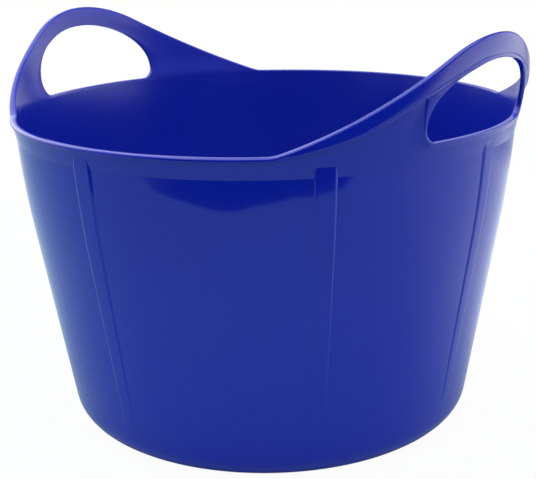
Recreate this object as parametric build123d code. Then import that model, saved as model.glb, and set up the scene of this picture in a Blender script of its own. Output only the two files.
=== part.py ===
from build123d import *
import os
from math import asin, atan2, cos, hypot, sin, sqrt

# A flexible plastic tub with two moulded loop handles, in millimetres.
# The origin is the centre of the underside, +Z is up, and the handles stand on +X and -X.

# Round body
rim_height = 229.0
rim_radius = 184.0
base_radius = 149.3
base_corner = 20.0
wall_thickness = 3.0
floor_thickness = 3.5
bend_drop = 46.0
bend_inset = 5.6

# Flared rim band and the lip along its top edge
band_height = 14.0
band_flare = 2.8
lip_height = 3.0
lip_reach = 1.0

# Raised ribs on the wall, at these angles from the handle axis
rib_angles = [0, 40, 90, 140, 180, 220, 270, 320]
rib_top_width = 13.0
rib_foot_width = 9.5
rib_reach = 1.4
rib_tip_reach = 0.3
rib_foot_height = 28.0
rib_top_drop = 7.5

# Handle outline, seen along X: two straight ramps and a round crest.
# The soft handles stand at slightly different slants, so each has its own lean at the crest.
handle_half_width = 138.0
handle_rise = 64.0
crest_radius = 92.0
right_lean = 8.5
left_lean = 12.6

# Grip strap, thicker than the wall: it grows out of the lip and is thickest at the crest
strap_height = 15.0
strap_shoulder_height = 12.0
strap_shoulder_offset = 95.0
strap_crest_offset = 48.0
strap_reach = 2.5

# Hand opening and the raised collar round it
opening_half_width = 62.5
opening_waist = 10.0
opening_corner = 8.0
opening_drop = 0.4
collar_half_width = 65.5
collar_drop = 5.0
collar_corner = 11.0
collar_reach = 1.8

# Flex line at the root of each handle
flex_half_width = 88.0
flex_rise = 4.0
flex_margin = 2.2
flex_clearance = 0.3

# Heights and radii that follow from the driving dimensions
crest_height = rim_height + handle_rise
band_foot_height = rim_height - band_height
band_foot_radius = rim_radius - band_flare
bend_height = rim_height - bend_drop
bend_radius = rim_radius - bend_inset
lip_radius = rim_radius + lip_reach
lip_foot_height = rim_height - lip_height
rib_top_height = rim_height - rib_top_drop
flex_height = rim_height + flex_rise
opening_height = handle_rise - strap_height
cut_reach = 2 * rim_radius


def wall_radius(height):
    """Outer radius of the wall and the rim band at a height."""
    stations = [
        (0.0, base_radius),
        (bend_height, bend_radius),
        (band_foot_height, band_foot_radius),
        (rim_height, rim_radius),
    ]
    for (low, low_radius), (high, high_radius) in zip(stations, stations[1:]):
        if height <= high:
            return low_radius + (high_radius - low_radius) * (height - low) / (high - low)
    return rim_radius


def turned(points, corner=None, corner_radius=0.0):
    """Solid of revolution about Z from (radius, height) points, with one corner rounded."""
    face = make_face(Polyline(*points, close=True))
    if corner:
        face = fillet(face.vertices().sort_by_distance((*corner, 0))[0], corner_radius)
    return revolve(Plane.XZ * face, Axis.Z)


def body_outline(inset, foot):
    """Half section of the body, moved inwards by the inset and standing at the foot height."""
    edge = [(wall_radius(height) - inset, height) for height in (bend_height, band_foot_height, rim_height)]
    return [(0, foot), (wall_radius(foot) - inset, foot), *edge, (0, rim_height)]


def handle_cone(lean, rim_growth, crest_growth):
    """Solid inside the rim band and a handle that leans outwards, grown at the rim and at the crest."""
    return turned([
        (0, band_foot_height),
        (band_foot_radius + rim_growth, band_foot_height),
        (rim_radius + rim_growth, rim_height),
        (rim_radius + lean + crest_growth, crest_height),
        (0, crest_height),
    ])


def slab(low, high):
    """Flat layer between two heights, wider than the tub."""
    height = high - low
    return Pos(0, 0, low + height / 2) * Box(2 * cut_reach, 2 * cut_reach, height)


def along_x(face):
    """Prism from the mid-plane out along +X, from a face drawn in Y and height."""
    return extrude(Plane.YZ * face, amount=cut_reach)


# Outline of the handle in (Y, height above the rim): the ramps are tangent to the crest arc
crest_centre = handle_rise - crest_radius
ramp_start_angle = atan2(-crest_centre, handle_half_width)
ramp_reach = hypot(handle_half_width, crest_centre)
crest_half_angle = asin(crest_radius / ramp_reach) - ramp_start_angle
crest_end_offset = crest_radius * sin(crest_half_angle)
crest_end_height = crest_centre + crest_radius * cos(crest_half_angle)


def outline_height(offset):
    """Height of the handle's top edge above the rim at a distance from its middle."""
    if offset <= crest_end_offset:
        return crest_centre + sqrt(crest_radius**2 - offset**2)
    share = (handle_half_width - offset) / (handle_half_width - crest_end_offset)
    return crest_end_height * share


def handle_face():
    """Region under the handle's top edge, down to the foot of the rim band."""
    right_foot = (handle_half_width, rim_height)
    left_foot = (-handle_half_width, rim_height)
    right_base = (handle_half_width, band_foot_height)
    left_base = (-handle_half_width, band_foot_height)
    right_end = (crest_end_offset, rim_height + crest_end_height)
    left_end = (-crest_end_offset, rim_height + crest_end_height)
    edges = [
        Line(right_foot, right_end),
        ThreePointArc(right_end, (0, crest_height), left_end),
        Line(left_end, left_foot),
        Polyline(left_foot, left_base, right_base, right_foot),
    ]
    return make_face(edges)


def strap_face():
    """Region of the grip strap, between the handle's top edge and the crease below it."""
    foot = (handle_half_width, rim_height)
    shoulder_height = outline_height(strap_shoulder_offset) - strap_shoulder_height
    shoulder = (strap_shoulder_offset, rim_height + shoulder_height)
    crest_side_height = outline_height(strap_crest_offset) - strap_height
    crest_side = (strap_crest_offset, rim_height + crest_side_height)
    above = (0, crest_height + strap_height)
    half = make_face([
        ThreePointArc(foot, shoulder, crest_side),
        Polyline(crest_side, (0, crest_side[1]), above, (foot[0], above[1]), foot),
    ])
    return half + mirror(half, about=Plane.YZ)


def opening_face():
    """D-shaped hand opening: half an oval above its waist, and a sill with rounded corners below."""
    waist_height = rim_height + opening_waist
    oval = Pos(0, waist_height) * Ellipse(opening_half_width, opening_height - opening_waist)
    above_waist = Pos(0, waist_height + opening_height) * Rectangle(4 * opening_half_width, 2 * opening_height)
    foot_height = opening_waist + opening_drop
    foot = Pos(0, waist_height - foot_height / 2) * Rectangle(2 * opening_half_width, foot_height)
    sill_corners = foot.vertices().group_by(Axis.Y)[0]
    return (oval & above_waist) + fillet(sill_corners, opening_corner)


def collar_face():
    """Frame round the opening: upright sides, and a foot with rounded corners under the sill."""
    height = collar_drop + handle_rise
    shape = Pos(0, rim_height - collar_drop + height / 2) * Rectangle(2 * collar_half_width, height)
    foot_corners = shape.vertices().group_by(Axis.Y)[0]
    return fillet(foot_corners, collar_corner)


# The round body as one shell, up to the rim
outer = turned(body_outline(0, 0), (base_radius, 0), base_corner)
inner_corner = (wall_radius(floor_thickness) - wall_thickness, floor_thickness)
inner = turned(body_outline(wall_thickness, floor_thickness), inner_corner, base_corner - wall_thickness)
shell = outer - inner

# Flat floor inside the rounded corner, the corner itself, and the wall above it
floor_disc = Pos(0, 0, floor_thickness / 2) * Cylinder(base_radius - base_corner, floor_thickness)
tub_floor = shell & floor_disc
base_heel = (shell & slab(0, base_corner)) - floor_disc
tub_wall = shell & slab(base_corner, band_foot_height)

# Half of the rim band, with the lip only where no handle stands on it
right_side = Pos(cut_reach, 0, 0) * Box(2 * cut_reach, 2 * cut_reach, 4 * crest_height)
band = shell & slab(band_foot_height, rim_height) & right_side
lip = turned([
    (wall_radius(lip_foot_height), lip_foot_height),
    (lip_radius, lip_foot_height + lip_reach),
    (lip_radius, rim_height),
    (rim_radius, rim_height),
]) & right_side
handle_span = Box(4 * cut_reach, 2 * handle_half_width, 4 * crest_height)
lipped_band = band + (lip - handle_span)

# Flex line: a round knuckle along Y, so the handle's root turns inside its own seat
knuckle_inner_x = sqrt((rim_radius - wall_thickness) ** 2 - flex_half_width**2)
knuckle_outer_x = rim_radius + collar_reach
flex_x = (knuckle_inner_x + knuckle_outer_x) / 2
flex_radius = (knuckle_outer_x - knuckle_inner_x) / 2 + flex_margin


def flex_zone(clearance):
    """Space of the part of the handle that bends, grown by the clearance."""
    width = 2 * (flex_half_width + clearance)
    knuckle = Pos(flex_x, 0, flex_height) * Rot(90, 0, 0) * Cylinder(flex_radius + clearance, width)
    top_height = 2 * crest_height
    foot_height = flex_height - clearance
    above = Pos(cut_reach / 2, 0, foot_height + top_height / 2) * Box(cut_reach, width, top_height)
    return knuckle + above


bending = flex_zone(0)
seat = flex_zone(flex_clearance)
handle_block = along_x(handle_face())
opening = along_x(opening_face())
strap_zone = along_x(strap_face())
collar_zone = along_x(collar_face())
above_rim = slab(rim_height, crest_height + strap_height)


def handle_regions(lean):
    """Rim half and handle on +X, divided at the flex line; the crest leans outwards."""
    outside = handle_cone(lean, 0, 0)
    inside = handle_cone(lean, -wall_thickness, -wall_thickness)
    panel = ((outside - inside) & handle_block & above_rim) - opening
    strap_cone = handle_cone(lean, lip_reach, strap_reach)
    strap = (strap_cone & strap_zone & handle_block & above_rim) - outside - opening
    collar_cone = handle_cone(lean, collar_reach, collar_reach)
    collar = (collar_cone & collar_zone) - outside - strap_zone - opening
    return {
        "rim": lipped_band - seat,
        "handle_shoulders": (panel + strap) - seat,
        "handle_loop": (panel + ((band & handle_block) - opening)) & bending,
        "handle_strap": strap & bending,
        "handle_collar": collar & bending,
    }


# Ribs: a ring that thickens the wall upwards, cut into upright tapering strips
bend_share = (bend_height - rib_foot_height) / (band_foot_height - rib_foot_height)
rib_ring = turned([
    (wall_radius(rib_foot_height), rib_foot_height),
    (bend_radius + rib_reach * bend_share, bend_height),
    (band_foot_radius + rib_reach, band_foot_height),
    (wall_radius(rib_top_height) + rib_tip_reach, rib_top_height),
    (wall_radius(rib_top_height), rib_top_height),
    (band_foot_radius, band_foot_height),
    (bend_radius, bend_height),
])
rib_strip = along_x(make_face(Polyline(
    (-rib_foot_width / 2, rib_foot_height),
    (rib_foot_width / 2, rib_foot_height),
    (rib_top_width / 2, rib_top_height),
    (-rib_top_width / 2, rib_top_height),
    close=True,
)))
half_turn = Rot(0, 0, 180)
rib_cutter = seat + half_turn * seat
ribs = [(rib_ring & Rot(0, 0, angle) * rib_strip) - rib_cutter for angle in rib_angles]

nodes = {
    "tub_floor": tub_floor,
    "base_heel": base_heel,
    "tub_wall": tub_wall,
    "wall_ribs": Compound(children=[rib.solid() for rib in ribs]),
}
for name, shape in handle_regions(right_lean).items():
    nodes["right_" + name] = shape
for name, shape in handle_regions(left_lean).items():
    nodes["left_" + name] = half_turn * shape

os.makedirs("parts", exist_ok=True)
for name, shape in nodes.items():
    export_step(shape, f"parts/{name}.step")
    print(name, len(shape.solids()), "solids", round(shape.volume), "mm3")

print("flex axis at x", round(flex_x, 3), "z", round(flex_height, 3), "radius", round(flex_radius, 3))
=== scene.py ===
# %% [markdown]
# # A flexible two-handled tub
#
# The object is one soft plastic moulding: a tapered round tub with a flared rim band, eight flat ribs down
# its wall, and two loop handles that grow out of the rim. There are no separate fittings, so the looks
# depend on three things: smooth curved walls, the small raised details round the handles, and a glossy deep
# blue skin.
#
# The CAD frame holds the real sizes. This first step loads it and reads the few sizes that everything else
# hangs on, so that the visual pieces land exactly where the CAD pieces are.

# %% Load the frame and read the main sizes
import bpy
import math
from mathutils import Matrix, Vector


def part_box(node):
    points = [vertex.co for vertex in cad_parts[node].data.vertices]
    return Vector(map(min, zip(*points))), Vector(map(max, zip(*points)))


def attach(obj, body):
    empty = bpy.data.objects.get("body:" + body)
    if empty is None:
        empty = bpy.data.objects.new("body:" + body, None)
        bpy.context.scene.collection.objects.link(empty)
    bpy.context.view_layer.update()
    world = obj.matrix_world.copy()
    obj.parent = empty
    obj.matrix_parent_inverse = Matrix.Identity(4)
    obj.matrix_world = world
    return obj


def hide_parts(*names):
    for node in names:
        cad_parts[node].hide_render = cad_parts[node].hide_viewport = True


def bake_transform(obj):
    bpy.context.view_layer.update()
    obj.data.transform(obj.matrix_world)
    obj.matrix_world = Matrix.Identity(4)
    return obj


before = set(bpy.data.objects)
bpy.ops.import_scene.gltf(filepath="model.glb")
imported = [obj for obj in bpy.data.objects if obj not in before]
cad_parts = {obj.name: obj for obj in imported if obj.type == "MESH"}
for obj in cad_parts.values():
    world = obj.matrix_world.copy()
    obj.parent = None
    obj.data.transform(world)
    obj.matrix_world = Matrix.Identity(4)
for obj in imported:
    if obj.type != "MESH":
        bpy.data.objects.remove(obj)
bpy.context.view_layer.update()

MM = 0.001
rim_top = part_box("right_rim")[1][2]
crease_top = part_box("right_rim")[0][2]
lip_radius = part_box("right_rim")[1][1]
handle_crest = {"right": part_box("right_handle_strap")[1][0], "left": -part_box("left_handle_strap")[0][0]}
handle_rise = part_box("right_handle_strap")[1][2] - rim_top
print("rim", rim_top, "crease", crease_top, "lip radius", lip_radius, "handles", handle_crest, handle_rise)

# %% [markdown]
# ## The camera
#
# The photograph was taken from a little above the rim, about 0.8 m away, with a moderately long lens. A
# camera can be aimed with a Track To constraint or by hand. Here its place, its direction and a small roll
# are set as a matrix, because that leaves nothing to be evaluated later.

# %% Set the camera
camera_place = Vector((0.5143, -0.6268, 0.3680))
camera_aim = Vector((-0.6075, 0.7405, -0.2874))
camera_roll = math.radians(-1.175)
camera_lens_mm = 74.2
camera_sensor_mm = 36.0
camera_clip_start = 0.01

camera_data = bpy.data.cameras.new("photo_camera")
camera_data.sensor_width = camera_sensor_mm
camera_data.lens = camera_lens_mm
camera_data.clip_start = camera_clip_start
photo_camera = bpy.data.objects.new("photo_camera", camera_data)
bpy.context.scene.collection.objects.link(photo_camera)
camera_turn = camera_aim.to_track_quat("-Z", "Y").to_matrix() @ Matrix.Rotation(camera_roll, 3, "Z")
photo_camera.matrix_world = Matrix.Translation(camera_place) @ camera_turn.to_4x4()
bpy.context.scene.camera = photo_camera
print("camera", round(camera_place.length, 3), "m from the origin, lens", camera_lens_mm, "mm")

# %% [markdown]
# ## The white sheet
#
# The tub stands on a white sheet in a soft, bright room, and the room beyond the sheet's near edge is dark.
# A glossy wall shows that room, so the sheet's near edge matters: the lower wall leans out and mirrors the
# white sheet, while the wall just under the crease is almost upright and mirrors the dark part beyond it. A
# plain square would put that edge in the wrong place, so it is given point by point.
#
# The paper is lifted to white for the camera and white for the light that it sends back. Its mirror image
# carries painted light and shade: a darker, cool grey painted shade on the left that changes to a lighter
# painted light on the right, as the photograph shows it on the wall.

# %% Make the paper
scene = bpy.context.scene
scene.view_settings.view_transform = "Standard"

camera_side = Vector((camera_place.x, camera_place.y, 0.0)).normalized()
right_side = Vector((-camera_side.y, camera_side.x, 0.0))
# Painted light and shade for mirrors only: darker cool grey on the left, lighter on the right, in place of
# how light falls across the sheet.
painted_reflection_tones = [
    (0.20, (0.28, 0.39, 0.43, 1.0)),
    (0.37, (0.35, 0.42, 0.47, 1.0)),
    (0.47, (0.47, 0.51, 0.57, 1.0)),
    (0.60, (0.53, 0.55, 0.61, 1.0)),
    (0.83, (0.60, 0.62, 0.68, 1.0)),
    (0.93, (0.36, 0.38, 0.44, 1.0)),
]
painted_reflection_span = (-0.5, 1.0)
painted_reflection_turn = math.radians(45.0)
sheet_white = (0.80, 0.80, 0.80, 1.0)
sheet_glow_share = 0.96


def fresh_tree(owner):
    """The node tree of a material or a world, emptied."""
    owner.use_nodes = True
    owner.node_tree.nodes.clear()
    return owner.node_tree


def add_node(tree, kind, place, inputs=None, **settings):
    """A node with its properties set. An input is given a value, or the socket that it is linked to."""
    node = tree.nodes.new(kind)
    node.location = place
    for key, value in settings.items():
        setattr(node, key, value)
    for socket, value in (inputs or {}).items():
        if isinstance(value, bpy.types.NodeSocket):
            tree.links.new(value, node.inputs[socket])
        else:
            node.inputs[socket].default_value = value
    return node


def add_vector_math(tree, place, operation, *values):
    """A node that does vector arithmetic. Gives its output sockets."""
    inputs = dict(enumerate(values))
    return add_node(tree, "ShaderNodeVectorMath", place, inputs, operation=operation).outputs


def add_product(tree, place, *values):
    """The product of two numbers. Gives its socket."""
    return add_node(tree, "ShaderNodeMath", place, dict(enumerate(values)), operation="MULTIPLY").outputs[0]


def add_map_range(tree, place, value, span, new_span, **settings):
    """Spreads a span of values over a new span. Gives the result's socket."""
    inputs = {"Value": value, "From Min": span[0], "From Max": span[1]}
    inputs.update({"To Min": new_span[0], "To Max": new_span[1]})
    return add_node(tree, "ShaderNodeMapRange", place, inputs, **settings).outputs["Result"]


def make_sheet_material():
    """Paper that is lifted to white for the camera and white for diffuse light, with painted light and shade
    in mirrors.
    """
    material = bpy.data.materials.new("white_sheet")
    tree = fresh_tree(material)
    where = add_node(tree, "ShaderNodeTexCoord", (-1000, 0)).outputs["Object"]
    painted_reflection_side = Matrix.Rotation(painted_reflection_turn, 3, "Z") @ right_side
    sideways = add_vector_math(tree, (-800, 0), "DOT_PRODUCT", where, painted_reflection_side)["Value"]
    spread = add_map_range(tree, (-600, 0), sideways, painted_reflection_span, (0.0, 1.0))
    painted_reflection_ramp = add_node(tree, "ShaderNodeValToRGB", (-400, 0), {"Fac": spread})
    while len(painted_reflection_ramp.color_ramp.elements) < len(painted_reflection_tones):
        painted_reflection_ramp.color_ramp.elements.new(0.5)
    for element, (position, painted_tone) in zip(painted_reflection_ramp.color_ramp.elements, painted_reflection_tones):
        element.position = position
        element.color = painted_tone

    ray = add_node(tree, "ShaderNodeLightPath", (-400, 300)).outputs
    # Diffuse light gets the even white, and mirrors get the painted light and shade.
    tints = {"Factor": ray["Is Diffuse Ray"], "A": painted_reflection_ramp.outputs["Color"], "B": sheet_white}
    painted_reflection_or_white = add_node(tree, "ShaderNodeMix", (-200, 0), tints, data_type="RGBA")
    paper = add_node(tree, "ShaderNodeBsdfDiffuse", (0, 0), {"Color": painted_reflection_or_white.outputs["Result"]})
    glow = add_node(tree, "ShaderNodeEmission", (0, -160), {"Strength": 1.0})
    share = add_product(tree, (0, 260), ray["Is Camera Ray"], sheet_glow_share)
    layers = {"Fac": share, 1: paper.outputs[0], 2: glow.outputs[0]}
    mix = add_node(tree, "ShaderNodeMixShader", (300, 0), layers)
    add_node(tree, "ShaderNodeOutputMaterial", (600, 0), {"Surface": mix.outputs[0]})
    return material


white_paper = make_sheet_material()
print("material", white_paper.name, "with", len(white_paper.node_tree.nodes), "nodes")

# %% Lay the white sheet
sheet_far_edge = 1.2
sheet_left_edge = -3.0
sheet_right_edge = 0.85
sheet_drop = 0.3 * MM
# Each corner of the near edge is an angle from the camera's side, in degrees, and a distance.
sheet_near_edge = [(-75.0, 1.40), (-62.0, 1.00), (-52.0, 0.80), (-43.0, 0.67), (-30.0, 0.62), (-18.0, 0.58),
                   (-12.0, 0.575), (-4.0, 0.60), (10.0, 0.63), (22.0, 0.64), (29.0, 0.67), (33.0, 0.73),
                   (37.0, 0.82), (45.0, 0.90), (52.0, 1.00)]


def add_mesh(name, corners, edges, faces):
    """A new object in the scene, with a mesh of these corners, edges and faces."""
    mesh = bpy.data.meshes.new(name)
    mesh.from_pydata(corners, edges, faces)
    added = bpy.data.objects.new(name, mesh)
    scene.collection.objects.link(added)
    return added


def make_white_sheet():
    """The sheet that the tub stands on, with its shaped near edge."""
    corners = []
    for angle, distance in sheet_near_edge:
        turn = math.radians(angle)
        corners.append(camera_side * (distance * math.cos(turn)) + right_side * (distance * math.sin(turn)))
    right_near = corners[-1].dot(camera_side)
    left_near = corners[0].dot(camera_side)
    for sideways, along in ((sheet_right_edge, right_near), (sheet_right_edge, -sheet_far_edge),
                            (sheet_left_edge, -sheet_far_edge), (sheet_left_edge, left_near)):
        corners.append(camera_side * along + right_side * sideways)
    below = Vector((0.0, 0.0, sheet_drop))
    sheet = add_mesh("white_sheet", [corner - below for corner in corners], [], [range(len(corners))])
    sheet.data.materials.append(white_paper)
    return sheet


white_sheet = make_white_sheet()
print("white sheet of", len(white_sheet.data.vertices), "corners")

# %% [markdown]
# ## The light
#
# Camera rays see plain white. All other rays see the room, which is made in the world: bright all round,
# dark on the near side under a dim ceiling, with a soft window on the right and one on the left. Lamps
# could stand in for the windows, but the glossy wall would mirror their hard edges, and in the world they
# fade softly.
#
# One large lamp overhead adds the light from above, and the lip mirrors it as a line.

# %% Make the room
dark_side_turn = math.radians(4.0)
dark_side_reach = math.radians(76.0)
dark_side_fade = math.radians(33.0)
ceiling_span = (0.05, 0.30)
ceiling_strength = (0.01, 0.45)
right_window = Matrix.Rotation(math.radians(10.0), 3, "Z") @ right_side
right_window_reach = (0.72, 0.88)
right_window_strength = (0.85, 2.8)
left_window = Matrix.Rotation(math.radians(-45.0), 3, "Z") @ -right_side
left_window.z = math.tan(math.radians(30.0))
left_window.normalize()
left_window_reach = (0.77, 0.90)
left_window_strength = (1.0, 3.6)


def add_facing(tree, direction, facing, row):
    """How nearly a direction of the room is the facing one. Gives the socket with the cosine."""
    return add_vector_math(tree, (-400, row), "DOT_PRODUCT", direction, facing)["Value"]


def add_window(tree, direction, facing, reach, strength, row):
    """A soft bright area of the room in one direction. Gives the socket with its strength."""
    return add_map_range(tree, (-200, row), add_facing(tree, direction, facing, row), reach, strength)


def make_world():
    """White for the camera. For all else, a bright room with a dark near side and two windows."""
    world = bpy.data.worlds.new("studio")
    scene.world = world
    tree = fresh_tree(world)
    direction = add_node(tree, "ShaderNodeTexCoord", (-600, 0)).outputs["Generated"]
    upwards = add_node(tree, "ShaderNodeSeparateXYZ", (-600, 200), {0: direction}).outputs["Z"]
    ceiling = add_map_range(tree, (-400, 200), upwards, ceiling_span, ceiling_strength)

    # The room fades from a strength of 1 to the ceiling's strength on the near side.
    dark_side = add_facing(tree, direction, Matrix.Rotation(dark_side_turn, 3, "Z") @ camera_side, 0)
    fade = (math.cos(dark_side_reach), math.cos(dark_side_reach - dark_side_fade))
    room = add_map_range(tree, (-200, 0), dark_side, fade, (1.0, ceiling), interpolation_type="SMOOTHSTEP")
    right_light = add_window(tree, direction, right_window, right_window_reach, right_window_strength, -250)
    left_light = add_window(tree, direction, left_window, left_window_reach, left_window_strength, -500)
    bright = add_product(tree, (0, -100), room, add_product(tree, (0, -350), right_light, left_light))

    surroundings = add_node(tree, "ShaderNodeBackground", (200, 0), {"Strength": bright})
    white = {"Color": (1.0, 1.0, 1.0, 1.0), "Strength": 1.0}
    backdrop = add_node(tree, "ShaderNodeBackground", (200, -300), white)
    ray = add_node(tree, "ShaderNodeLightPath", (200, 400)).outputs
    sights = {"Fac": ray["Is Camera Ray"], 1: surroundings.outputs[0], 2: backdrop.outputs[0]}
    seen = add_node(tree, "ShaderNodeMixShader", (650, 0), sights)
    add_node(tree, "ShaderNodeOutputWorld", (900, 0), {"Surface": seen.outputs[0]})


make_world()
print("a room with two windows and", len(scene.world.node_tree.nodes), "nodes")

# %% Hang the lamp
lamp_place = camera_side * 0.40 + Vector((0.0, 0.0, 2.1))
lamp_target = Vector((0.0, 0.0, 0.15))
lamp_colour = (0.84, 0.94, 1.0)
lamp_size = 2.8
lamp_power = 82.0


def add_overhead_lamp():
    """A square area lamp of cool daylight that points at the middle of the tub."""
    lamp = bpy.data.lights.new("overhead_lamp", "AREA")
    lamp.color = lamp_colour
    lamp.size = lamp_size
    lamp.energy = lamp_power
    holder = bpy.data.objects.new("overhead_lamp", lamp)
    scene.collection.objects.link(holder)
    aim = (lamp_target - lamp_place).to_track_quat("-Z", "Y")
    holder.matrix_world = Matrix.Translation(lamp_place) @ aim.to_matrix().to_4x4()


add_overhead_lamp()
print("overhead lamp", lamp_size, "m across,", round(lamp_place.z, 2), "m up")

# %% [markdown]
# ## The blue plastic
#
# The skin is glossy low-density polyethylene, coloured through. Its blue is deep, so most of what is seen
# on it is reflection, and a perfectly even skin would look like computer plastic. Real moulded tubs show a
# slow waviness where the wall cooled unevenly, a very fine orange peel and slightly patchy gloss. The
# inside is duller than the outside.
#
# A Principled shader does all this. Its roughness and its two bumps read noise on Object coordinates, so
# the pattern stays with the object in any view. The inside is known by its normals, which point towards the
# tub's axis.

# %% Make the blue plastic
plastic_blue = (0.0026, 0.0105, 0.262, 1.0)
plastic_blue_pale = (0.0034, 0.0125, 0.290, 1.0)
plastic_ior = 1.42
# Each noise is a scale and a detail.
cloud_noise = (14.0, 3.0)
patch_noise = (32.0, 5.0)
wave_noise = (9.0, 0.0)
peel_noise = (420.0, 2.0)
patch_span = (0.3, 0.7)
gloss_span = (0.045, 0.085)
inside_facing = (-0.2, -0.7)
inside_roughness = 0.22
wave_height = 0.6 * MM
peel_height = 0.01 * MM
peel_strength = 0.25


def add_noise(tree, place, row, scale, detail):
    """Noise on the object's own coordinates. Gives its socket."""
    inputs = {"Vector": place, "Scale": scale, "Detail": detail}
    return add_node(tree, "ShaderNodeTexNoise", (-600, row), inputs).outputs["Fac"]


def make_blue_plastic():
    """Glossy deep blue polyethylene with slow waves, fine orange peel, patchy gloss and a duller inside."""
    material = bpy.data.materials.new("blue_polyethylene")
    tree = fresh_tree(material)
    where = add_node(tree, "ShaderNodeTexCoord", (-900, 0)).outputs
    place = where["Object"]
    clouds = add_noise(tree, place, 250, *cloud_noise)
    tints = {"Factor": clouds, "A": plastic_blue, "B": plastic_blue_pale}
    tint = add_node(tree, "ShaderNodeMix", (200, 250), tints, data_type="RGBA")

    patches = add_noise(tree, place, 0, *patch_noise)
    gloss = add_map_range(tree, (200, 0), patches, patch_span, gloss_span)
    level = add_vector_math(tree, (-600, 500), "MULTIPLY", place, (1.0, 1.0, 0.0))["Vector"]
    outwards = add_vector_math(tree, (-400, 500), "NORMALIZE", level)["Vector"]
    facing = add_vector_math(tree, (-200, 500), "DOT_PRODUCT", outwards, where["Normal"])["Value"]
    roughness = add_map_range(tree, (400, 500), facing, inside_facing, (gloss, inside_roughness))

    waves = add_noise(tree, place, -250, *wave_noise)
    peel = add_noise(tree, place, -500, *peel_noise)
    wave_bump = {"Height": waves, "Strength": 1.0, "Distance": wave_height}
    wavy = add_node(tree, "ShaderNodeBump", (0, -250), wave_bump).outputs["Normal"]
    peel_bump = {"Height": peel, "Strength": peel_strength, "Distance": peel_height, "Normal": wavy}
    grainy = add_node(tree, "ShaderNodeBump", (300, -350), peel_bump).outputs["Normal"]

    skin = add_node(tree, "ShaderNodeBsdfPrincipled", (600, 0), {
        "Base Color": tint.outputs["Result"],
        "Roughness": roughness,
        "IOR": plastic_ior,
        "Normal": grainy,
    })
    add_node(tree, "ShaderNodeOutputMaterial", (900, 0), {"Surface": skin.outputs["BSDF"]})
    return material


blue_plastic = make_blue_plastic()
print("material", blue_plastic.name, "with", len(blue_plastic.node_tree.nodes), "nodes")

# %% [markdown]
# ## The tub's body
#
# The floor, the rounded heel and the wall are one turned shape. A lathe-like shape can be made by bending a
# cylinder row by row, with a Screw modifier, or with Spin. Spin is the plainest: half of the section is
# drawn as a line of edges, and the line is turned once round the upright axis.
#
# The wall is a straight cone up to a soft shoulder, and from there it leans out less and less until the
# crease.

# %% Draw half of the tub's section
wall_thickness = 3.0 * MM
floor_thickness = 3.5 * MM
heel_radius = 20.0 * MM
shoulder_height = 149.0 * MM
shoulder_radius = 173.3 * MM
wall_lean = 0.163
wall_straightening = 0.72
inside_bend = rim_top - 34.0 * MM
rim_radius = 184.0 * MM
rim_thickness = 4.0 * MM
wall_rows = 32
heel_rows = 10
floor_shares = (0.0, 0.35, 0.7)


def wall_radius(height):
    """Outer radius of the wall at a height above the floor."""
    above = max(0.0, height - shoulder_height)
    return shoulder_radius + wall_lean * (height - shoulder_height) - wall_straightening * above**2


def inside_radius(height):
    """Inner radius of the wall. Near the top the inside flares in one soft curve, with no crease."""
    lower = min(height, inside_bend)
    thinned = (floor_thickness - wall_thickness) * lower / inside_bend
    below = wall_radius(lower) - floor_thickness + thinned
    if height <= inside_bend:
        return below
    slope = wall_lean - 2.0 * wall_straightening * (inside_bend - shoulder_height)
    rise = rim_top - inside_bend
    flare = (rim_radius - rim_thickness - below - slope * rise) / rise**2
    return below + slope * (height - inside_bend) + flare * (height - inside_bend) ** 2


def even_steps(first, last, count):
    """Count + 1 evenly spaced values from first to last."""
    return [first + (last - first) * step / count for step in range(count + 1)]


def body_section():
    """Half of the tub's section, from the middle of the underside round to that of the inside floor."""
    lean_angle = math.atan(wall_lean)
    heel_middle = wall_radius(0.0) + wall_lean * heel_radius - heel_radius / math.cos(lean_angle)
    heel_end = heel_radius - heel_radius * math.sin(lean_angle)
    wall_heights = even_steps(heel_end, crease_top, wall_rows)[1:]

    def floor_and_heel(thickness):
        radius = heel_radius - thickness
        angles = even_steps(-math.pi / 2, -lean_angle, heel_rows)
        arc = [(heel_middle + radius * math.cos(a), heel_radius + radius * math.sin(a)) for a in angles]
        return [(heel_middle * share, thickness) for share in floor_shares] + arc

    outside = floor_and_heel(0.0) + [(wall_radius(height), height) for height in wall_heights]
    inside = floor_and_heel(floor_thickness) + [(inside_radius(height), height) for height in wall_heights]
    return outside + inside[::-1]


half_section = body_section()
print("half section of", len(half_section), "points")

# %% Spin the tub's body
turn_steps = 288
merge_distance = 0.01 * MM


def deselect_all():
    """Leaves Object mode with nothing selected."""
    if bpy.context.mode != "OBJECT":
        bpy.ops.object.mode_set(mode="OBJECT")
    bpy.ops.object.select_all(action="DESELECT")


def select_only(pieces):
    """Leaves just these pieces selected, with the first one active."""
    deselect_all()
    for piece in pieces:
        piece.select_set(True)
    bpy.context.view_layer.objects.active = pieces[0]


def merge_and_face_outwards():
    """Closes the object in hand, turns its faces outwards and counts the edges that stay open."""
    bpy.ops.object.mode_set(mode="EDIT")
    bpy.ops.mesh.select_all(action="SELECT")
    bpy.ops.mesh.remove_doubles(threshold=merge_distance)
    bpy.ops.mesh.fill_holes(sides=0)
    bpy.ops.mesh.select_all(action="SELECT")
    bpy.ops.mesh.normals_make_consistent(inside=False)
    bpy.ops.mesh.select_all(action="DESELECT")
    bpy.ops.mesh.select_non_manifold()
    bpy.ops.object.mode_set(mode="OBJECT")
    return sum(1 for edge in bpy.context.object.data.edges if edge.select)


def finish_piece(piece, sharp_angle=50.0):
    """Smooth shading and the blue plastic."""
    select_only([piece])
    bpy.ops.object.shade_smooth_by_angle(angle=math.radians(sharp_angle))
    piece.data.materials.clear()
    piece.data.materials.append(blue_plastic)


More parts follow.
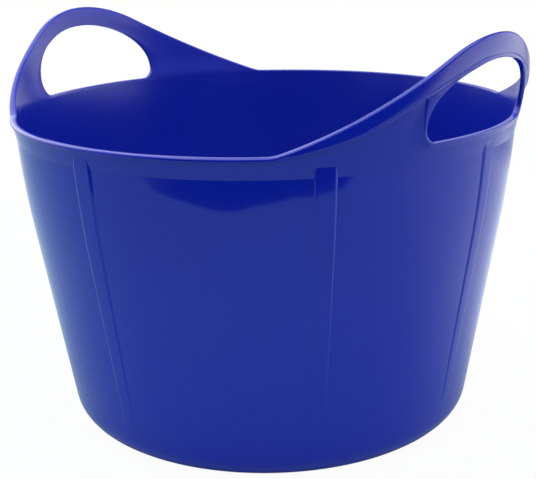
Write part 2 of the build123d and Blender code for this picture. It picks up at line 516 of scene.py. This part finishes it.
def make_tub_body():
    """Floor, heel and wall, spun from the half section."""
    line = [(step, step + 1) for step in range(len(half_section) - 1)]
    body = add_mesh("tub_body", [(radius, 0.0, height) for radius, height in half_section], line, [])
    select_only([body])
    bpy.ops.object.mode_set(mode="EDIT")
    bpy.ops.mesh.select_all(action="SELECT")
    bpy.ops.mesh.spin(steps=turn_steps, angle=2.0 * math.pi, center=(0.0, 0.0, 0.0), axis=(0.0, 0.0, 1.0))
    bpy.ops.object.mode_set(mode="OBJECT")
    open_edges = merge_and_face_outwards()
    print("tub_body", len(body.data.polygons), "faces,", open_edges, "open edges")
    return body


tub_body = make_tub_body()
finish_piece(tub_body)
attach(tub_body, "tub")
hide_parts("tub_floor", "base_heel", "tub_wall")

# %% [markdown]
# ## The ribs
#
# Eight flat ribs stiffen the wall. Each grows out of the wall a little above the heel, widens upwards, runs
# over the crease and ends square on the rim band. A cube with bevelled edges could do, but its flat face
# would not follow the wall's curve. So each rib starts as a flat grid that is wrapped once round the rib's
# section, row by row, and its two ends are filled. Its long edges are rounded, and they catch a line of
# light.

# %% Describe a rib
rib_foot = 28.0 * MM
rib_top = rim_top - 7.5 * MM
rib_foot_width = 8.6 * MM
rib_top_width = 12.0 * MM
rib_reach = 1.0 * MM
rib_tip_reach = 0.05 * MM
rib_root = 1.2 * MM
rib_rows = 19
rib_end_rows = 2
rib_rounding_steps = 4
rib_edge_row = 0.4 * MM
band_slope = (rim_radius - wall_radius(crease_top)) / (rim_top - crease_top)


def skin_radius(height):
    """Outer radius of the wall below the crease and of the rim band above it."""
    if height <= crease_top:
        return wall_radius(height)
    return wall_radius(crease_top) + band_slope * (height - crease_top)


def rib_stand(height):
    """How far a rib stands out of the wall or the band at a height."""
    if height <= crease_top:
        return rib_reach * math.sqrt((height - rib_foot) / (crease_top - rib_foot))
    return rib_reach + (rib_tip_reach - rib_reach) * (height - crease_top) / (rib_top - crease_top)


def rib_heights():
    """The heights of a rib's rows, with one row on the crease."""
    below = even_steps(rib_foot, crease_top, rib_rows)
    above = even_steps(crease_top, rib_top, rib_end_rows)[1:]
    return below + above


def rib_section(height, draft, rounding):
    """Places (across, stand) once round a rib's section, from one root over the face and back."""
    share = (height - rib_foot) / (rib_top - rib_foot)
    half_width = 0.5 * (rib_foot_width + (rib_top_width - rib_foot_width) * share)
    stand = rib_stand(height)
    side_angle = math.atan2(rib_reach, draft)
    flat = half_width - rounding
    low = (half_width + rounding * math.cos(side_angle), stand - rounding * math.sin(side_angle))
    half = [(half_width + draft * (stand + rib_root) / rib_reach, -rib_root)]
    for turn in even_steps(0.0, 1.0, rib_rounding_steps):
        corner_pull = 2.0 * turn * (1.0 - turn)
        across = (1.0 - turn) ** 2 * low[0] + corner_pull * half_width + turn**2 * flat
        half.append((across, (1.0 - turn) ** 2 * low[1] + corner_pull * stand + turn**2 * stand))
    half += [(flat - rib_edge_row, stand), (0.5 * flat, stand)]
    left = [(-across, out) for across, out in half]
    return left + [(0.0, stand)] + half[::-1] + left[:1]


print("ribs from", round(rib_foot / MM, 1), "to", round(rib_top / MM, 1), "mm above the floor")

# %% Shape the ribs and turn them to their places
ribs_under_handles = [2.0, 180.0]
ribs_beside_handles = [39.5, 140.5, 219.5, 320.5]
ribs_between_handles = [90.0, 270.0]
crisp_rounding = 0.4 * MM
wide_rounding = 1.5 * MM
steep_draft = 1.3 * MM
soft_draft = 2.3 * MM
rib_sharp_angle = 40.0


def shaped_grid(columns, rows, place):
    """A flat grid, each corner of which is moved to place(column, row)."""
    deselect_all()
    bpy.ops.mesh.primitive_grid_add(x_subdivisions=columns, y_subdivisions=rows, size=1.0)
    sheet = bpy.context.object
    for corner in sheet.data.vertices:
        column = round((corner.co.x + 0.5) * columns)
        row = round((corner.co.y + 0.5) * rows)
        corner.co = place(column, row)
    return sheet


def make_rib(draft, rounding):
    """One rib on the +X side. The draft is how far a side slopes outwards over the rib's full reach."""
    heights = rib_heights()
    sections = [rib_section(height, draft, rounding) for height in heights]

    def place(column, row):
        across, stand = sections[row][column]
        wall = skin_radius(heights[row])
        turn = across / wall
        return Vector(((wall + stand) * math.cos(turn), (wall + stand) * math.sin(turn), heights[row]))

    rib = shaped_grid(len(sections[0]) - 1, len(heights) - 1, place)
    open_edges = merge_and_face_outwards()
    print("rib", len(rib.data.polygons), "faces,", open_edges, "open edges")
    return rib


def join_pieces(pieces, name):
    """One named piece, joined from several."""
    select_only(pieces)
    bpy.ops.object.join()
    joined = bpy.context.object
    joined.name = name
    joined.data.name = name
    return joined


def make_ribs():
    """All ribs, each turned to its place round the axis."""
    ribs = []
    for places, draft, rounding in ((ribs_under_handles, steep_draft, wide_rounding),
                                    (ribs_beside_handles, steep_draft, crisp_rounding),
                                    (ribs_between_handles, soft_draft, crisp_rounding)):
        for angle in places:
            rib = make_rib(draft, rounding)
            rib.data.transform(Matrix.Rotation(math.radians(angle), 4, "Z"))
            ribs.append(rib)
    joined = join_pieces(ribs, "moulded_ribs")
    print(joined.name, len(ribs), "ribs,", len(joined.data.polygons), "faces")
    return joined


moulded_ribs = make_ribs()
finish_piece(moulded_ribs, rib_sharp_angle)
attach(moulded_ribs, "tub")
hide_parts("wall_ribs")

# %% [markdown]
# ## The rim and its handles
#
# Above the crease the moulding is one continuous skin on each side: the flared band, the lip, and the hump
# that carries the grip strap, the hand opening and the collar round it. Cutting the opening with a Boolean
# would leave ragged faces just where the rounded edges catch the light. So the skin is laid out like a
# paper pattern instead.
#
# Each sheet of the pattern starts as a flat grid, and every corner of the grid is moved to its place on the
# skin. Four kinds of sheet are joined: one along the top edge, one in rings round the hand opening, one on
# each side for the plain band, and one under the opening that closes the foot.
#
# A place on the skin is given by its distance sideways, its height above the rim and how far it stands out.

# %% Describe the handle's outline
strap_reach = 2.5 * MM
lip_reach = lip_radius - rim_radius
lip_height = 3.0 * MM
crest_clearance = 0.8 * MM
crest_rise = handle_rise - crest_clearance
kink_softness = 1.5 * MM
steepest_ramp = math.radians(85.0)
search_steps = 60
band_height = rim_top - crease_top
# turn: which way a half faces. lean: how far its crest stands out over the rim. foot: where its ramps end.
# crest: radius of the crest's arc. proud: how far the grip stands out of the skin. shear: how far the crest
# is pushed sideways. slide: how far the opening sits off the middle. sill and waist: heights above the rim
# of the opening's lower edge and of its widest place. rise: height of its oval above the waist.
handles = {
    "right": {"turn": 1.0, "lean": handle_crest["right"] - strap_reach - rim_radius, "foot": 139.5 * MM,
              "crest": 98.0 * MM, "proud": 0.4 * MM, "shear": -3.8 * MM, "slide": 2.2 * MM,
              "waist": 11.2 * MM, "rise": 35.5 * MM, "sill": 0.3 * MM},
    "left": {"turn": -1.0, "lean": handle_crest["left"] - strap_reach - rim_radius, "foot": 138.0 * MM,
             "crest": 105.0 * MM, "proud": 2.3 * MM, "shear": 1.2 * MM, "slide": 5.0 * MM,
             "waist": 10.6 * MM, "rise": 38.1 * MM, "sill": -0.4 * MM},
}


def smooth_share(value, low, high):
    """0 at low, 1 at high, with a smooth run between them."""
    share = min(1.0, max(0.0, (value - low) / (high - low)))
    return share * share * (3.0 - 2.0 * share)


def soft_floor(value, softness):
    """The value where it is above zero, else nearly zero, with a rounded corner between."""
    return 0.5 * (value + math.sqrt(value * value + softness * softness))


def ramp_angle(foot, crest):
    """Slope angle of the straight ramp that runs from the rim up to touch the crest's arc."""
    low, high = 0.0, steepest_ramp
    for _ in range(search_steps):
        middle = 0.5 * (low + high)
        touch_height = crest_rise - crest * (1.0 - math.cos(middle))
        rises = touch_height - (foot - crest * math.sin(middle)) * math.tan(middle)
        low, high = (middle, high) if rises > 0.0 else (low, middle)
    return 0.5 * (low + high)


def top_height(side, handle):
    """Height of the top edge above the rim, at a distance sideways from the handle's middle."""
    away = abs(side)
    crest = handle["crest"]
    if away < crest * math.sin(handle["ramp"]):
        return crest_rise - crest + math.sqrt(crest**2 - away**2)
    return math.tan(handle["ramp"]) * soft_floor(handle["foot"] - away, kink_softness)


for name, handle in handles.items():
    handle["ramp"] = ramp_angle(handle["foot"], handle["crest"])
    slope = round(math.degrees(handle["ramp"]), 2)
    print(name, "ramp", slope, "degrees, lean", round(handle["lean"] / MM, 1), "mm")

# %% [markdown]
# The crease under the grip strap starts from the lip at the ramp's foot and drops away from the top edge,
# so that the strap grows from a 3 mm lip to a 15 mm grip. The grip is rounded outside and inside, which is
# kinder to the hand.

# %% Describe the strap
strap_height = 15.0 * MM
strap_full_side = 29.0 * MM
ramp_depth = 12.2 * MM
ramp_full_side = 64.0 * MM
ramp_taper = 40.0 * MM
strap_gap = 2.0 * MM
strap_tilt = 0.11
tilt_start_side = 14.0 * MM
tilt_full_side = 58.0 * MM
tilt_onset = 12.0
grip_crown = 0.5 * MM
crease_step = 0.35 * MM
hump_fade_side = 120.0 * MM
hump_overrun = 1.5 * MM
opening_half_width = 62.6 * MM


def strap_depth(side, handle):
    """Height of the strap's upright face at a distance sideways."""
    grown = min(1.0, max(0.0, handle["foot"] - abs(side)) / ramp_taper)
    thicker = (strap_height - ramp_depth) * (1.0 - smooth_share(abs(side), strap_full_side, ramp_full_side))
    return lip_height + (ramp_depth - lip_height) * grown + thicker


def grip_share(side, handle):
    """0 along the plain lip, 1 at the full grip."""
    return smooth_share(strap_depth(side, handle), lip_height, strap_height)


def crease_height(side, handle):
    """Height of the strap's lower edge above the rim, clear of the opening's edge."""
    below_top = top_height(side, handle) - strap_depth(side, handle)
    away = abs(side - handle["slide"])
    if away >= opening_half_width:
        return below_top
    opening_edge = handle["waist"] + handle["rise"] * math.sqrt(1.0 - (away / opening_half_width) ** 2)
    return max(below_top, opening_edge + strap_gap)


def crown_share(side, height, handle):
    """1 in the middle of the strap's face and 0 at its upper and lower edges."""
    low = crease_height(side, handle)
    across = 2.0 * (height - low) / (top_height(side, handle) - low) - 1.0
    return 1.0 - across * across


def ramp_share(side, handle):
    """0 at the crest and along the plain lip, 1 on the ramps between them."""
    off_crest = smooth_share(abs(side), tilt_start_side, tilt_full_side)
    return off_crest * min(1.0, tilt_onset * grip_share(side, handle))


def face_stand(side, height, handle):
    """How far the strap's face stands out of the skin. On the ramps that grows towards its lower edge."""
    grip = grip_share(side, handle)
    top_stand = lip_reach + (handle["proud"] - lip_reach) * grip
    lean_out = strap_tilt * ramp_share(side, handle) * (top_height(side, handle) - height)
    return top_stand + lean_out - grip_crown * grip * (1.0 - crown_share(side, height, handle))


def crease_stand(side, handle):
    """How far the skin stands out along the crease: almost as the strap on the hump, 0 along the lip."""
    on_hump = 1.0 - smooth_share(abs(side), hump_fade_side, handle["foot"] + hump_overrun)
    strap_foot = face_stand(side, crease_height(side, handle), handle)
    return on_hump * (strap_foot - crease_step * ramp_share(side, handle))


print("crease at the crest", round(crease_height(0.0, handles["right"]) / MM, 1), "mm above the rim")

# %% [markdown]
# The hand opening is a half oval on a low straight sill. The plastic is so soft that each opening sits a
# few millimetres off the handle's middle, and the slide of each handle gives that. The collar is a frame
# round the opening with round lower corners. Points of both could be listed by hand, but a rule for each
# keeps their edges smooth and lets a size change in one place.

# %% Describe the opening and the collar
opening_corner = 10.0 * MM
collar_half_width = 65.3 * MM
collar_drop = 4.0 * MM
collar_corner = 13.0 * MM


def opening_point(part, share, handle):
    """A point of the opening's edge. Its parts are the top, the far side, the sill and the near side."""
    slide, waist, sill = handle["slide"], handle["waist"], handle["sill"]
    straight = waist - (sill + opening_corner)
    corner_length = opening_corner * math.pi / 2
    if part == "top":
        angle = math.pi * (1.0 - share)
        return slide + opening_half_width * math.cos(angle), waist + handle["rise"] * math.sin(angle)
    if part == "sill":
        reach = opening_half_width - opening_corner
        return slide + reach * (1.0 - 2.0 * share), sill
    travelled = (share if part == "far" else 1.0 - share) * (straight + corner_length)
    angle = max(0.0, travelled - straight) / opening_corner
    side = opening_half_width - opening_corner * (1.0 - math.cos(angle))
    height = waist - min(travelled, straight) - opening_corner * math.sin(angle)
    return (slide + side, height) if part == "far" else (slide - side, height)


def outside_collar(side, height, handle):
    """Above zero outside the collar's frame, below zero inside it. The frame's lower corners are round."""
    across = abs(side - handle["slide"]) - (collar_half_width - collar_corner)
    down = (handle["sill"] - collar_drop + collar_corner) - height
    if across > 0.0 and down > 0.0:
        return math.hypot(across, down) - collar_corner
    return max(across, down) - collar_corner


for name, handle in handles.items():
    print(name, "opening", round((handle["waist"] + handle["rise"] - handle["sill"]) / MM, 1), "mm high")

# %% [markdown]
# The next cell turns a place on the pattern into a point in space. Below the rim the skin is the band's
# cone, and above it the slope runs into the handle's own lean within a few millimetres.

# %% Wrap the pattern round the tub
fold_length = 8.0 * MM
thinning_height = 15.0 * MM


def skin_at(height, lean):
    """Radius of the outer skin at a height above or below the rim."""
    if height <= 0.0:
        return rim_radius + band_slope * height
    slope = (lean - band_slope * fold_length) / (handle_rise - fold_length)
    folded = fold_length * (1.0 - math.exp(-height / fold_length))
    return rim_radius + slope * height + (band_slope - slope) * folded


def inner_stand(height):
    """Where the inner face lies, counted from the outer skin. Below the rim it follows the tub's inside."""
    if height >= 0.0:
        return (rim_thickness - wall_thickness) * smooth_share(height, 0.0, thinning_height) - rim_thickness
    return inside_radius(rim_top + height) - rim_radius - band_slope * height


def skin_point(side, height, stand, handle, azimuth=None):
    """A point in space for a place on the pattern. The left half is the right half turned half round."""
    radius = skin_at(height, handle["lean"])
    if azimuth is None:
        sheared = side + handle["shear"] * max(0.0, height) / handle_rise
        azimuth = math.asin(sheared / max(rim_radius, radius))
    reach = handle["turn"] * (radius + stand)
    return Vector((reach * math.cos(azimuth), reach * math.sin(azimuth), rim_top + height))


for name, handle in handles.items():
    print(name, "crest at radius", round(skin_at(crest_rise, handle["lean"]) / MM, 1), "mm")

# %% [markdown]
# All sheets of a half share the same upright columns, so that their corners meet and can be merged. The
# columns could be spaced evenly, but at the ends, where the two halves meet, closer ones keep the line fine.

# %% Space the columns
column_step = 1.25
corner_angle = 50.0
side_rows = 8
last_even_angle = 88.0
end_angles = [89.0, 89.7, 90.0]


def column_angles():
    """Azimuths of the rim's columns, in degrees. They close up at the ends, where the two halves meet."""
    even_angles = [column_step * step for step in range(int(last_even_angle / column_step) + 1)]
    half_turn = even_angles + end_angles
    return [-angle for angle in half_turn[:0:-1]] + half_turn


angles = column_angles()
first_corner = angles.index(-corner_angle)
last_corner = angles.index(corner_angle)


def side_of(angle):
    """Distance sideways of a column along the rim."""
    return rim_radius * math.sin(math.radians(angle))


print(len(angles), "columns, opening sheet from column", first_corner, "to", last_corner)

# %% [markdown]
# The first sheet runs along the whole top edge: from the crease up the strap's face, over the rounded top
# and down the inside. A bevel on a finished strap would be one width all along, but here the edge grows
# rounder from the lip to the grip, so its rows are placed one by one.

# %% Lay the sheet along the top edge
lip_rounding = 2.0 * MM
grip_rounding = 2.6 * MM
lip_inner_rounding = 0.7 * MM
grip_inner_rounding = 1.7 * MM
step_height = 1.2 * MM
step_depth_share = 0.25
step_rows = [(0.2, 0.4), (0.55, 0.8), (1.0, 1.0)]
face_rows = 6
rounding_rows = 6
inner_rows = 7


def top_edge_rows(side, handle):
    """Places (height, stand) from the crease up the strap's face, over the top and down the inside."""
    crease = crease_height(side, handle)
    top = top_height(side, handle)
    depth = top - crease
    grip = grip_share(side, handle)
    at_crest = 1.0 - smooth_share(abs(side), strap_full_side, ramp_full_side)
    rounding = lip_rounding + (grip_rounding - lip_rounding) * grip
    inner_rounding = lip_inner_rounding + (grip_inner_rounding - lip_inner_rounding) * grip
    foot = min(step_height, step_depth_share * depth)
    start = crease_stand(side, handle)
    rows = [(crease, start)]
    for lift, share in step_rows:
        height = crease + foot * lift
        rows.append((height, start + (face_stand(side, height, handle) - start) * share))
    for height in even_steps(crease + foot, top - rounding, face_rows)[1:]:
        rows.append((height, face_stand(side, height, handle)))
    quarter = even_steps(0.0, math.pi / 2, rounding_rows)[1:]
    outer = rows[-1][1] - rounding
    rows += [(top - rounding + rounding * math.sin(a), outer + rounding * math.cos(a)) for a in quarter]
    inside = []
    for height in even_steps(top - inner_rounding, crease, inner_rows):
        bulge = grip_crown * at_crest * crown_share(side, height, handle) ** 2
        inside.append((height, inner_stand(height) - bulge))
    inner = inside[0][1] + inner_rounding
    for angle in [0.0] + quarter[:-1]:
        height = top - inner_rounding * (1.0 - math.cos(angle))
        rows.append((height, inner - inner_rounding * math.sin(angle)))
    return rows + inside


def top_edge_sheet(handle):
    """The lip, the strap's face, the rounded top edge and the inside behind them."""
    columns = [top_edge_rows(side_of(angle), handle) for angle in angles]

    def place(column, row):
        height, stand = columns[column][row]
        azimuth = math.radians(angles[column])
        if abs(angles[column]) < corner_angle and height > 0.0:
            return skin_point(side_of(angles[column]), height, stand, handle)
        return skin_point(0.0, height, stand, handle, azimuth)

    return shaped_grid(len(angles) - 1, len(columns[0]) - 1, place)


print(len(top_edge_rows(0.0, handles["right"])), "rows from the crease over the top edge to the inside")

# %% [markdown]
# The rings round the hand opening start at the crease and run inwards over the cove and the panel. At the
# sides and the lower corners they step up onto the collar's flat frame, under the sill they swell into a
# soft bead, and over the opening they go on level from the strap. Then they turn round the opening's edge to
# the inside.

# %% Find where the rings run
def ring_posts(handle):
    """Pairs of (place on the sheet's border, place on the opening's edge), once round the opening."""
    top_count = last_corner - first_corner
    corner_side = side_of(corner_angle)
    band_heights = even_steps(crease_height(corner_side, handle), -band_height, side_rows)
    posts = []
    for step in range(top_count):
        side = side_of(angles[first_corner + step])
        posts.append(((side, crease_height(side, handle)), opening_point("top", step / top_count, handle)))
    for step in range(side_rows):
        posts.append(((corner_side, band_heights[step]), opening_point("far", step / side_rows, handle)))
    for step in range(top_count):
        side = side_of(angles[last_corner - step])
        posts.append(((side, -band_height), opening_point("sill", step / top_count, handle)))
    for step in range(side_rows):
        height = band_heights[side_rows - step]
        posts.append(((-corner_side, height), opening_point("near", step / side_rows, handle)))
    return posts + posts[:1]


def collar_share(border, edge, handle):
    """Share of the way from the opening's edge to the sheet's border where the collar's frame ends."""
    if outside_collar(*border, handle) < 0.0:
        return 1.0
    low, high = 0.0, 1.0
    for _ in range(search_steps):
        middle = 0.5 * (low + high)
        side = edge[0] + (border[0] - edge[0]) * middle
        height = edge[1] + (border[1] - edge[1]) * middle
        low, high = (low, middle) if outside_collar(side, height, handle) > 0.0 else (middle, high)
    return high


print(len(ring_posts(handles["right"])), "places round the opening")

# %% Lay the rings round the hand opening
collar_reach = 0.45 * MM
collar_step = 0.45 * MM
collar_step_share = 0.3
collar_step_rows = (0.0, 0.33, 0.67, 1.0)
collar_face_rows = 3
crease_margin = 0.5 * MM
bead_reach = 0.5 * MM
bead_flat = 1.2 * MM
crown_full_side = 16.0 * MM
crown_end_side = 44.0 * MM
frame_start = -0.5 * MM
frame_full = 3.0 * MM
frame_corner_start = opening_half_width - 24.0 * MM
frame_corner_full = opening_half_width - 8.0 * MM
cove_width = 6.2 * MM
cove_reach = 9.6 * MM
cove_panel_share = 0.8
cove_drops = (0.0, 0.6 * MM, 1.6 * MM, 3.2 * MM, 5.2 * MM, 7.4 * MM)
panel_rows = 6
opening_rounding = 1.6 * MM
opening_rounding_rows = (0.6, 0.3, 0.1, 0.0)
roll_width = 1.3 * MM
roll_depth = 1.0 * MM
roll_rows = (0.0, 0.04, 0.15, 0.35, 0.65, 1.0)
inner_ring_rows = 8


def round_drop(distance, width, depth):
    """How far a rounded edge has dropped at a distance from its end."""
    share = 1.0 - min(1.0, distance / width)
    return depth * (1.0 - math.sqrt(1.0 - share * share))


def ring_rows(border, edge, handle):
    """Places (side, height, stand) from the border in to the opening's edge and back along the inside."""
    length = math.hypot(border[0] - edge[0], border[1] - edge[1])
    frame_end = collar_share(border, edge, handle) * length
    panel = length - frame_end
    on_crease = border[1] > -lip_height - crease_margin
    crease_lift = crease_stand(border[0], handle) if on_crease else 0.0
    off_middle = abs(edge[0] - handle["slide"])
    over_opening = edge[1] > handle["waist"]
    crown = 1.0 - smooth_share(off_middle, crown_full_side, crown_end_side) if over_opening else 0.0
    at_side = smooth_share(edge[1] - handle["sill"], frame_start, frame_full)
    at_corner = smooth_share(off_middle, frame_corner_start, frame_corner_full)
    framed = max(at_side, at_corner)
    step_width = min(collar_step, collar_step_share * frame_end)

    def at(from_edge, stand, inside=False):
        share = from_edge / length
        side = edge[0] + (border[0] - edge[0]) * share
        height = edge[1] + (border[1] - edge[1]) * share
        return side, height, (inner_stand(height) if inside else 0.0) + stand

    def cove(from_edge):
        return crease_lift * (1.0 - min(1.0, (length - from_edge) / cove_width))

    def collar_face(from_edge):
        crisp = collar_reach * smooth_share(frame_end - from_edge, 0.0, step_width)
        bead = bead_reach * (1.0 - smooth_share(from_edge, bead_flat, frame_end))
        plain = bead + (crisp - bead) * framed
        return max(cove(from_edge), plain + (crease_lift - plain) * crown)

    shallow = min(cove_reach, cove_panel_share * panel)
    travels = [shallow * drop / cove_reach for drop in cove_drops]
    travels += even_steps(shallow, panel, panel_rows)[:-1]
    rows = [at(length - travelled, cove(length - travelled)) for travelled in travels]

    edge_rounding = min(opening_rounding, 0.5 * frame_end)
    from_edges = [frame_end - step_width * share for share in collar_step_rows]
    from_edges += even_steps(frame_end - step_width, edge_rounding, collar_face_rows)[1:]
    from_edges += [edge_rounding * share for share in opening_rounding_rows]
    for from_edge in from_edges:
        stand = collar_face(from_edge) - round_drop(from_edge, edge_rounding, edge_rounding)
        rows.append(at(from_edge, stand))

    roll = min(roll_width, 0.45 * length)
    for share in roll_rows:
        rows.append(at(roll * share, round_drop(share, 1.0, roll_depth), inside=True))
    rows += [at(from_edge, 0.0, inside=True) for from_edge in even_steps(roll, length, inner_ring_rows)[1:]]
    return rows


def opening_sheet(handle):
    """Panel, collar and opening edge, in rings."""
    columns = [ring_rows(border, edge, handle) for border, edge in ring_posts(handle)]

    def place(column, row):
        side, height, stand = columns[column][row]
        return skin_point(side, height, stand, handle)

    return shaped_grid(len(columns) - 1, len(columns[0]) - 1, place)


first_border, first_edge = ring_posts(handles["right"])[0]
rings = ring_rows(first_border, first_edge, handles["right"])
print(len(rings), "rings from the crease over the collar to the inside")

# %% [markdown]
# The plain band needs no detail, so it is two simple sheets, one on each side of the opening. A last strip
# closes the foot under the opening. Then all sheets of a half are joined, their doubled corners are merged,
# and the skin is blended between the tub and the handle, so that it bends at the handle's root.

# %% Lay the plain band and the foot, and join the sheets
def band_sheet(handle, first, last):
    """The plain band between two columns: down the outside from the lip, round the foot, up the inside."""
    down = even_steps(0.0, 1.0, side_rows)
    rows = [(share, 0.0) for share in down] + [(1.0, 0.5)] + [(share, 1.0) for share in down[::-1]]

    def place(column, row):
        share, inwards = rows[row]
        azimuth = math.radians(angles[first + column])
        top = crease_height(side_of(angles[first + column]), handle)
        height = top - (top + band_height) * share
        return skin_point(0.0, height, inwards * inner_stand(height), handle, azimuth)

    return shaped_grid(last - first, len(rows) - 1, place)


def foot_sheet(handle):
    """The strip that closes the foot under the hand opening."""
    def place(column, row):
        azimuth = math.radians(angles[first_corner + column])
        return skin_point(0.0, -band_height, 0.5 * row * inner_stand(-band_height), handle, azimuth)

    return shaped_grid(last_corner - first_corner, 2, place)


def make_rim_half(half):
    """One half of the rim with its handle, joined from its sheets."""
    handle = handles[half]
    sheets = [
        top_edge_sheet(handle),
        opening_sheet(handle),
        band_sheet(handle, 0, first_corner),
        band_sheet(handle, last_corner, len(angles) - 1),
        foot_sheet(handle),
    ]
    rim = join_pieces(sheets, half + "_rim_and_handle")
    open_edges = merge_and_face_outwards()
    print(rim.name, len(rim.data.polygons), "faces,", open_edges, "open edges")
    return rim


for half in ("right", "left"):
    rim_half = make_rim_half(half)
    finish_piece(rim_half)
    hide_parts(half + "_rim", half + "_handle_shoulders", half + "_handle_loop",
                half + "_handle_strap", half + "_handle_collar")
    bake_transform(rim_half)
